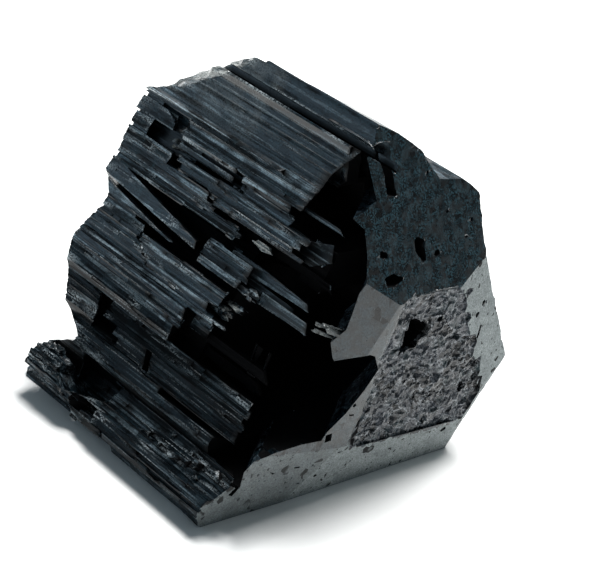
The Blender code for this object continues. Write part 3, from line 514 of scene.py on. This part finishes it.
def new_material(name):
    """A material with its node tree and its shader."""
    material = bpy.data.materials.new(name)
    material.use_nodes = True
    return material, material.node_tree, material.node_tree.nodes["Principled BSDF"]


def pattern(tree, across, along, detail):
    """Noise with its size across and along the growth axis."""
    place = node(tree, "ShaderNodeTexCoord").outputs["Object"]
    scale = [1.0 / (size * MM) for size in (along, across, across)]
    drawn = node(tree, "ShaderNodeMapping", {}, {"Vector": place, "Scale": scale}).outputs["Vector"]
    noise = node(tree, "ShaderNodeTexNoise", {}, {"Vector": drawn, "Scale": 1.0, "Detail": detail})
    return noise.outputs["Fac"]


def finish_values(tree):
    """The patterns and marks that the crystal's finish follows, by name."""
    values = {name: pattern(tree, *sizes) for name, sizes in PATTERNS.items()}
    place = node(tree, "ShaderNodeTexCoord").outputs["Object"]
    for name, (size, feature, output) in CELLS.items():
        values[name] = node(tree, "ShaderNodeTexVoronoi", {"feature": feature}, {
            "Vector": place, "Scale": 1.0 / (size * MM)}).outputs[output]
    for name in MARKS:
        values[name] = node(tree, "ShaderNodeAttribute", {"attribute_name": name}).outputs["Fac"]
    return values


def strength(tree, values, place):
    """How strong something is: the product of the patterns and marks of its place."""
    shares = []
    for name, *span in place:
        share = values[name]
        if span:
            low, high, least, most = (*span, 0.0, 1.0)[:4]
            share = node(tree, "ShaderNodeMapRange", {}, {
                "Value": share, "From Min": low, "From Max": high, "To Min": least, "To Max": most,
            }).outputs["Result"]
        shares.append(share)
    total = shares[0]
    for share in shares[1:]:
        total = node(tree, "ShaderNodeMath", {"operation": "MULTIPLY"}, {0: total, 1: share}).outputs[0]
    return total


def laid(tree, under, over, share):
    """One colour laid over another by a share."""
    made = node(tree, "ShaderNodeMix", {"data_type": "RGBA"}, {0: share, MIX_UNDER: under, MIX_OVER: over})
    return made.outputs[MIX_RESULT]


def layered(tree, values, colour, *layers):
    """Layers laid over a colour in turn."""
    for over, *place in layers:
        colour = laid(tree, colour, linear(over), strength(tree, values, place))
    return colour


def painted(tree, values, finish, light):
    """A finish: from its dark colour to the light one, with its layers over them."""
    dark, place, layers = finish
    ground = laid(tree, linear(dark), linear(light), strength(tree, values, place))
    return layered(tree, values, ground, *layers)


def schorl_material(settings, name, gloss, streak_share, painted_shade):
    """Schorl, the black iron tourmaline, as grown and broken: glassy, opaque, near black.

    Growth ridges carry thin pale streaks of dust and painted highlights, the low faces of the tip are
    frosted and the blunt end is etched grey. Where it has splintered it has less gloss and fewer streaks,
    and painted shade darkens it.
    """
    material, tree, shader = new_material(name)
    values = finish_values(tree)
    colour = painted(tree, values, GROWN, settings.body_colour)
    # Painted shade: darker low on the broken side, where less light reaches
    colour = laid(tree, colour, linear(PAINTED_SHADE_COLOUR), painted_shade)
    colour = layered(tree, values, colour, DARK_LINES)
    # Pale streaks: dust and painted highlights along the ridges
    dust_and_highlight = ("patches", *STREAK_PATCHES, STREAK_LEAST * streak_share, streak_share)
    colour = laid(tree, colour, linear(settings.streak_colour), strength(tree, values, (*STREAKS, dust_and_highlight)))
    colour = layered(tree, values, colour, EDGE_WEAR_AND_HIGHLIGHT)
    for mark_name, finish, light in (("steep", STEEP_FACE, STEEP_COLOUR),
                                     ("frosted", FROSTED, settings.frost_colour),
                                     ("etched", ETCHED, ETCHED_COLOUR)):
        colour = laid(tree, colour, painted(tree, values, finish, light), values[mark_name])
    colour = layered(tree, values, colour, TIP_PITS)
    colour = laid(tree, colour, painted(tree, values, PALE, settings.pale_colour), values["pale"])
    # Painted shade: near black over the gaps of the broken side
    colour = layered(tree, values, colour, PAINTED_GAP_SHADE)
    tree.links.new(colour, shader.inputs["Base Color"])

    dull = node(tree, "ShaderNodeMath", {"operation": "MAXIMUM"}, {
        0: values["frosted"], 1: values["gap_shade"]}).outputs[0]
    dull = node(tree, "ShaderNodeMath", {"operation": "MULTIPLY"}, {0: dull, 1: DULL_ROUGHNESS}).outputs[0]
    rough = node(tree, "ShaderNodeMath", {"operation": "MAXIMUM"}, {
        0: dull, 1: strength(tree, values, GROWN_ROUGHNESS)}).outputs[0]
    tree.links.new(rough, shader.inputs["Roughness"])
    shader.inputs["IOR"].default_value = SCHORL_IOR
    shader.inputs["Specular IOR Level"].default_value = gloss
    grain = node(tree, "ShaderNodeBump", {}, {
        "Height": values["hairs"], "Distance": BUMP_DEPTH, "Strength": HAIR_BUMP})
    grit = node(tree, "ShaderNodeBump", {}, {
        "Height": values["flecks"], "Distance": BUMP_DEPTH, "Strength": FLECK_BUMP,
        "Normal": grain.outputs["Normal"]})
    tree.links.new(grit.outputs["Normal"], shader.inputs["Normal"])
    return material


def gap_shade_material():
    """Painted shade deep inside the gaps: near-black schorl with a faint grain, rough and without gloss, so
    the gaps stay black.
    """
    material, tree, shader = new_material("schorl_painted_gap_shade")
    dark, light = (linear(colour) for colour in GAP_SHADE_COLOURS)
    tree.links.new(laid(tree, dark, light, pattern(tree, *GAP_GRAIN)), shader.inputs["Base Color"])
    shader.inputs["Roughness"].default_value = GAP_ROUGHNESS
    shader.inputs["Specular IOR Level"].default_value = GAP_GLOSS
    return material


def table_material(colour):
    """Matt white laminate: an even, slightly soft surface."""
    material, tree, shader = new_material("matt_white_laminate")
    speckle = strength(tree, {"grain": pattern(tree, *TABLE_GRAIN)}, TABLE_SPECKLE)
    tree.links.new(laid(tree, linear(colour), linear(TABLE_SHADE), speckle), shader.inputs["Base Color"])
    shader.inputs["Roughness"].default_value = TABLE_ROUGHNESS
    return material


# ---------------------------------------------------------------- crystal

def start_from_solid():
    """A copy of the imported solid, merged, with its flat faces whole again."""
    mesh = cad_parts[NODE].data.copy()
    piece = bpy.data.objects.new(PIECE, mesh)
    bpy.context.scene.collection.objects.link(piece)
    bpy.ops.object.select_all(action="DESELECT")
    piece.select_set(True)
    bpy.context.view_layer.objects.active = piece
    bpy.ops.object.mode_set(mode="EDIT")
    bpy.ops.mesh.select_all(action="SELECT")
    bpy.ops.mesh.remove_doubles(threshold=MERGE_WITHIN * MM)
    bpy.ops.mesh.dissolve_limited(angle_limit=FLAT_WITHIN)
    bpy.ops.object.mode_set(mode="OBJECT")
    bpy.ops.mesh.customdata_custom_splitnormals_clear()
    bpy.ops.object.shade_flat()
    return piece


def vectors(items, name):
    """One vector of every face or point, as rows of x, y and z."""
    values = np.empty(len(items) * 3)
    items.foreach_get(name, values)
    return values.reshape(-1, 3)


def face_data(mesh):
    """Centres and normals of the faces, in the crystal's frame."""
    return to_crystal(vectors(mesh.polygons, "center")), vectors(mesh.polygons, "normal") @ np.array(TURN)


def point_data(mesh):
    """Places and normals of the points, in the crystal's frame."""
    return to_crystal(vectors(mesh.vertices, "co")), vectors(mesh.vertices, "normal") @ np.array(TURN)


def edit_faces(piece, chosen):
    """Go into edit mode with only the chosen faces selected."""
    mesh = piece.data
    mesh.vertices.foreach_set("select", np.zeros(len(mesh.vertices), bool))
    mesh.edges.foreach_set("select", np.zeros(len(mesh.edges), bool))
    mesh.polygons.foreach_set("select", chosen)
    bpy.context.tool_settings.mesh_select_mode = (False, False, True)
    bpy.ops.object.mode_set(mode="EDIT")


def show_only(piece, chosen):
    """In edit mode, hide every face but the chosen ones."""
    edit_faces(piece, ~chosen)
    bpy.ops.mesh.hide(unselected=False)


def leave_edit(piece):
    """Show all faces again and leave edit mode."""
    bpy.ops.mesh.reveal(select=False)
    bpy.ops.object.mode_set(mode="OBJECT")
    return piece.data


def cut(planes):
    """Cut all that shows along each plane."""
    for point, normal in planes:
        bpy.ops.mesh.select_all(action="SELECT")
        bpy.ops.mesh.bisect(plane_co=point, plane_no=normal)


def spaced(start, end, narrow, wide, draw):
    """Places from start to end at uneven steps."""
    places = []
    at = start
    while at < end:
        at += draw.uniform(narrow, wide)
        places.append(at)
    return places


def side_faces(mesh):
    """Which faces are sides of the column, and which sides are cut by rows down the broken side."""
    _, normals = face_data(mesh)
    return np.abs(normals[:, 0]) < SIDE_LEAN, np.abs(normals[:, 1:] @ SIDE_DOWN) < DEEP_LEAN


def cut_ridges(piece, settings, draw):
    """Rows along the growth axis on every side of the column, and rings across it."""
    steps = (settings.row_min, settings.row_max)
    sides, facing = side_faces(piece.data)
    show_only(piece, sides & facing)
    cut([plane_along(SIDE_DOWN, s) for s in spaced(*SIDE_ROWS, *steps, draw)])
    cut([plane_across(x) for x in spaced(*RINGS, *SIDE_RING_STEPS, draw)])
    sides, facing = side_faces(leave_edit(piece))
    steps = [DEEP_ROW_SHARE * step for step in steps]
    show_only(piece, sides & ~facing)
    cut([plane_along(SIDE_IN, d) for d in spaced(*DEEP_ROWS, *steps, draw)])
    cut([plane_across(x) for x in spaced(*RINGS, *DEEP_RING_STEPS, draw)])
    leave_edit(piece)


def cut_tip(piece):
    """A grid on the faces of the tip, fine enough for pits and worn edges."""
    centres, _ = face_data(piece.data)
    behind, _ = tip_surface(centres)
    show_only(piece, behind < TIP_SKIN)
    for way, start, end in TIP_ROWS:
        rows = range(int((end - start) / TIP_PITCH))
        cut([plane_along(np.array(way), start + row * TIP_PITCH) for row in rows])
    leave_edit(piece)


def refine(piece, chosen, cuts):
    """Divide the chosen faces evenly."""
    show_only(piece, chosen)
    bpy.ops.mesh.select_all(action="SELECT")
    bpy.ops.mesh.quads_convert_to_tris()
    bpy.ops.mesh.select_all(action="SELECT")
    bpy.ops.mesh.subdivide(number_cuts=cuts)
    leave_edit(piece)


def break_out(piece, share, depth, flake, seed):
    """Break thin flakes out of the ridges: runs of cells are pushed in with upright walls."""
    mesh = piece.data
    centres, normals = face_data(mesh)
    s, d = side_coordinates(centres)
    flat = (np.abs(normals[:, 0]) < FLAKE_LEAN) & (normals[:, 1:] @ SIDE_IN < FLAKE_OUTWARD)
    area = np.empty(len(mesh.polygons))
    mesh.polygons.foreach_get("area", area)
    length, width = flake
    runs = hashed(np.floor(np.stack([centres[:, 0] / length, s / width, d / FLAKE_DEEP_CELL], axis=1)), seed)
    bunched = smooth_noise(centres / np.array(BUNCH_CELL), seed + 1)
    worn = share * (1.0 + BUNCHING * bunched) * ramp(s, *FLAKES_FROM)
    edit_faces(piece, flat & (runs < worn) & (area > FLAKE_LEAST_AREA * MM * MM))
    inward = TURN @ Vector((0.0, *SIDE_IN)) * depth * MM
    bpy.ops.mesh.extrude_region_move(TRANSFORM_OT_translate={"value": inward})
    bpy.ops.object.mode_set(mode="OBJECT")


def face_share_on_points(mesh, chosen):
    """For each point, the share of the faces around it that are chosen."""
    total = np.zeros(len(mesh.vertices))
    part = np.zeros(len(mesh.vertices))
    loops = np.empty(len(mesh.loops), np.int64)
    mesh.loops.foreach_get("vertex_index", loops)
    sizes = np.empty(len(mesh.polygons), np.int64)
    mesh.polygons.foreach_get("loop_total", sizes)
    owners = np.repeat(np.arange(len(sizes)), sizes)
    np.add.at(total, loops, 1.0)
    np.add.at(part, loops, np.asarray(chosen, float)[owners])
    return part / np.maximum(total, 1.0)


def convexity(mesh):
    """How sharply the faces fold outwards along the edges at each point, from 0 to 1."""
    form = bmesh.new()
    form.from_mesh(mesh)
    fold = np.zeros(len(form.verts))
    for edge in form.edges:
        if len(edge.link_faces) == 2 and edge.is_convex:
            angle = edge.calc_face_angle(0.0)
            for point in edge.verts:
                fold[point.index] = max(fold[point.index], angle)
    form.free()
    return ramp(fold, *EDGE_WEAR_AND_HIGHLIGHT_FOLD)


def store(mesh, name, values, domain="POINT"):
    """Keep values from 0 to 1 on the points or faces, for the finish to read."""
    layer = mesh.attributes.new(name, "FLOAT", domain)
    layer.data.foreach_set("value", np.clip(values, 0.0, 1.0).astype(np.float32))


def displace(piece, settings):
    """Growth ridges on the sides, chips on the etched end, and grit on the broken back."""
    mesh = piece.data
    places, outward = point_data(mesh)
    _, normals = face_data(mesh)
    behind, _ = tip_surface(places)
    sides = face_share_on_points(mesh, np.abs(normals[:, 0]) < SIDE_LEAN)
    ridged = sides * ramp(behind, *RIDGES_BEHIND_TIP) > 0.0
    across = outward * np.array((0.0, 1.0, 1.0))
    across /= np.maximum(np.linalg.norm(across, axis=1, keepdims=True), 1e-6)
    coarse, fine = RIDGE_SHARES
    relief = coarse * smooth(places, "ridges") + fine * smooth(places, "fine ridges")
    lowered = settings.ridge_height * (relief - RIDGE_LEVEL)
    lowered += settings.wave_height * (smooth(places, "waves") - WAVE_LEVEL)
    lowered *= ridged * np.maximum(ramp(places[:, 0], *CALM_BACK), CALM_SHARE)
    moved = places + across * lowered[:, None]

    back = ramp(-outward[:, 0], *GRIT_LEAN) * (places[:, 0] < BACK_FROM) * ramp(sides, *GRIT_BESIDE_SIDES)
    coarse, fine = GRIT_SHARES
    gritty = coarse * chips(places, "back") + fine * chips(places, "fine back") - GRIT_LEVEL
    gritty *= settings.back_grit * np.maximum(back, KNOB_SHARE * near(places, *KNOB))
    coarse, fine = ETCH_SHARES
    chipped = coarse * chips(places, "etched") + fine * chips(places, "fine etched") - ETCH_LEVEL
    chipped *= settings.etch_depth * etched_share(places)
    moved += outward * (gritty + chipped)[:, None]
    low, high = np.array(CAD_LOW), np.array(CAD_HIGH)
    placed = np.clip(moved * MM @ np.array(TURN).T + np.array(TIP), low, high)
    mesh.vertices.foreach_set("co", placed.ravel())
    mesh.update()


def mark(piece):
    """Keep what the finish follows: painted shade in the gaps, worn edges with painted highlights, bands,
    crust, and the tip's faces.
    """
    mesh = piece.data
    places, outward = point_data(mesh)
    behind, _ = tip_surface(places)
    on_tip = ramp(behind, *TIP_FADE)
    patchy = ramp(smooth(places, "wear_and_highlight"), *EDGE_WEAR_AND_HIGHLIGHT_PATCHES) * (1.0 - on_tip)
    # Convex edges get pale wear and painted highlights
    store(mesh, "wear_and_highlight", convexity(mesh) * np.maximum(patchy, etched_share(places)))
    s, _ = side_coordinates(places)
    bands = ramp(s + BANDING_UNEVEN * smooth(places, "banding"), *BANDING_FROM)
    store(mesh, "banded", (BANDING_LEAST + (1.0 - BANDING_LEAST) * bands) * (1.0 - on_tip))
    store(mesh, "gap_shade", gap_shade_share(places, outward))
    store(mesh, "pale", pale_share(places, outward))
    centres, normals = face_data(mesh)
    behind, face = tip_surface(centres)
    on_tip = (behind < ON_TIP) & (normals[:, 0] > TIP_LEAN)
    store(mesh, "frosted", on_tip * FROST[face], "FACE")
    store(mesh, "steep", on_tip * (face == STEEP), "FACE")
    store(mesh, "etched", etched_share(centres), "FACE")


def finish_of_faces(mesh):
    """0 where a face is as grown, 1 low on the broken side where it has splintered and painted shade darkens
    it, 2 in the gaps, which get the painted gap shade.
    """
    centres, normals = face_data(mesh)
    behind, _ = tip_surface(centres)
    s, d = side_coordinates(centres)
    low_down = s + SPLINTERED_UNEVEN * smooth(centres, "splinters") > SPLINTERED_FROM
    outside = (d < SPLINTERED_DEPTH) & (behind > SPLINTERED_BEHIND_TIP) & (normals[:, 0] > -SIDE_LEAN)
    # Faces deep in the painted shade of the gaps get its near-black material
    gaps = gap_shade_share(centres, normals) > GAP_SHADE_FACES
    return np.where(gaps, 2, (low_down & outside).astype(int)).astype(np.int32)


def make_crystal(settings):
    """The crystal: the solid made fine, its relief, its marks and its finish."""
    draw = random.Random(FIRST_DRAW)
    piece = start_from_solid()
    centres, normals = face_data(piece.data)
    back = (normals[:, 0] < BACK_LEAN) & (centres[:, 0] < BACK_FROM)
    refine(piece, back | (near(centres, *KNOB) > 0.0), EXTRA_CUTS)
    centres, _ = face_data(piece.data)
    refine(piece, etched_share(centres) > 0.5, EXTRA_CUTS)
    cut_ridges(piece, settings, draw)
    cut_tip(piece)
    for flakes in FLAKES:
        break_out(piece, *flakes)
    displace(piece, settings)
    mark(piece)
    piece.data.materials.clear()
    for name, gloss, streak_share, painted_shade in SCHORL_FINISHES:
        piece.data.materials.append(schorl_material(settings, name, gloss, streak_share, painted_shade))
    piece.data.materials.append(gap_shade_material())
    piece.data.polygons.foreach_set("material_index", finish_of_faces(piece.data))
    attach(piece, "root")
    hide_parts(NODE)
    return piece


# ---------------------------------------------------------------- stage

def area_light(name, place, size, colour, power):
    """A rectangular lamp that points at the crystal."""
    lamp = bpy.data.lights.new(name, "AREA")
    lamp.color = linear(colour)[:3]
    lamp.shape = "RECTANGLE"
    lamp.size, lamp.size_y = size
    lamp.energy = power
    holder = bpy.data.objects.new(name, lamp)
    bpy.context.scene.collection.objects.link(holder)
    holder.location = place
    holder.rotation_euler = (LAMPS_AIM - Vector(place)).to_track_quat("-Z", "Y").to_euler()


def make_stage(settings):
    """The table, the two lamps, the even light from all round, and the camera."""
    bpy.ops.object.select_all(action="DESELECT")
    bpy.ops.mesh.primitive_plane_add(size=TABLE_SIZE, location=(0.0, 0.0, 0.0))
    table = bpy.context.object
    table.name = "table"
    table.data.materials.append(table_material(settings.table_colour))
    area_light("key_lamp", *KEY_LAMP, settings.key_power)
    area_light("side_panel", *SIDE_PANEL, settings.panel_power)
    world = bpy.data.worlds.new("studio")
    world.use_nodes = True
    background = world.node_tree.nodes["Background"]
    background.inputs["Color"].default_value = linear(SKY_COLOUR)
    background.inputs["Strength"].default_value = settings.ambient
    bpy.context.scene.world = world
    bpy.context.scene.view_settings.view_transform = "Standard"

    camera = bpy.data.cameras.new("camera")
    camera.lens = settings.lens
    camera.sensor_width = SENSOR_WIDTH
    holder = bpy.data.objects.new("camera", camera)
    bpy.context.scene.collection.objects.link(holder)
    back = (TURN @ EYE_BACK).normalized()
    right = (TURN @ EYE_RIGHT).normalized()
    up = back.cross(right).normalized()
    right = up.cross(back)
    turn = Matrix((right, up, back)).transposed().to_4x4()
    turn.translation = to_row(EYE)
    holder.matrix_world = turn
    bpy.context.scene.camera = holder


# ---------------------------------------------------------------- operators and panel

class OBJECT_OT_crystal(bpy.types.Operator):
    """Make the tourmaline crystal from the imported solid."""
    bl_idname = "object.tourmaline_crystal"
    bl_label = "Tourmaline Crystal"

    def execute(self, context):
        make_crystal(context.scene.crystal_settings)
        return {"FINISHED"}


class OBJECT_OT_stage(bpy.types.Operator):
    """Set the table, the lights and the camera."""
    bl_idname = "object.crystal_stage"
    bl_label = "Table and Lights"

    def execute(self, context):
        make_stage(context.scene.stage_settings)
        return {"FINISHED"}


class VIEW3D_PT_crystal(bpy.types.Panel):
    """Lists what this file makes and its settings."""
    bl_label = "Crystal"
    bl_space_type = "VIEW_3D"
    bl_region_type = "UI"
    bl_category = "Crystal"

    def draw(self, context):
        for settings, operator in ((context.scene.crystal_settings, OBJECT_OT_crystal),
                                   (context.scene.stage_settings, OBJECT_OT_stage)):
            box = self.layout.box()
            for name in settings.__annotations__:
                box.prop(settings, name)
            box.operator(operator.bl_idname)


CLASSES = (CrystalSettings, StageSettings, OBJECT_OT_crystal, OBJECT_OT_stage, VIEW3D_PT_crystal)


def register():
    for item in CLASSES:
        bpy.utils.register_class(item)
    bpy.types.Scene.crystal_settings = bpy.props.PointerProperty(type=CrystalSettings)
    bpy.types.Scene.stage_settings = bpy.props.PointerProperty(type=StageSettings)


def unregister():
    del bpy.types.Scene.stage_settings
    del bpy.types.Scene.crystal_settings
    for item in reversed(CLASSES):
        bpy.utils.unregister_class(item)


def main():
    """Make the pieces in order."""
    register()
    bpy.ops.object.tourmaline_crystal()
    bpy.ops.object.crystal_stage()


if __name__ == "__main__":
    main()
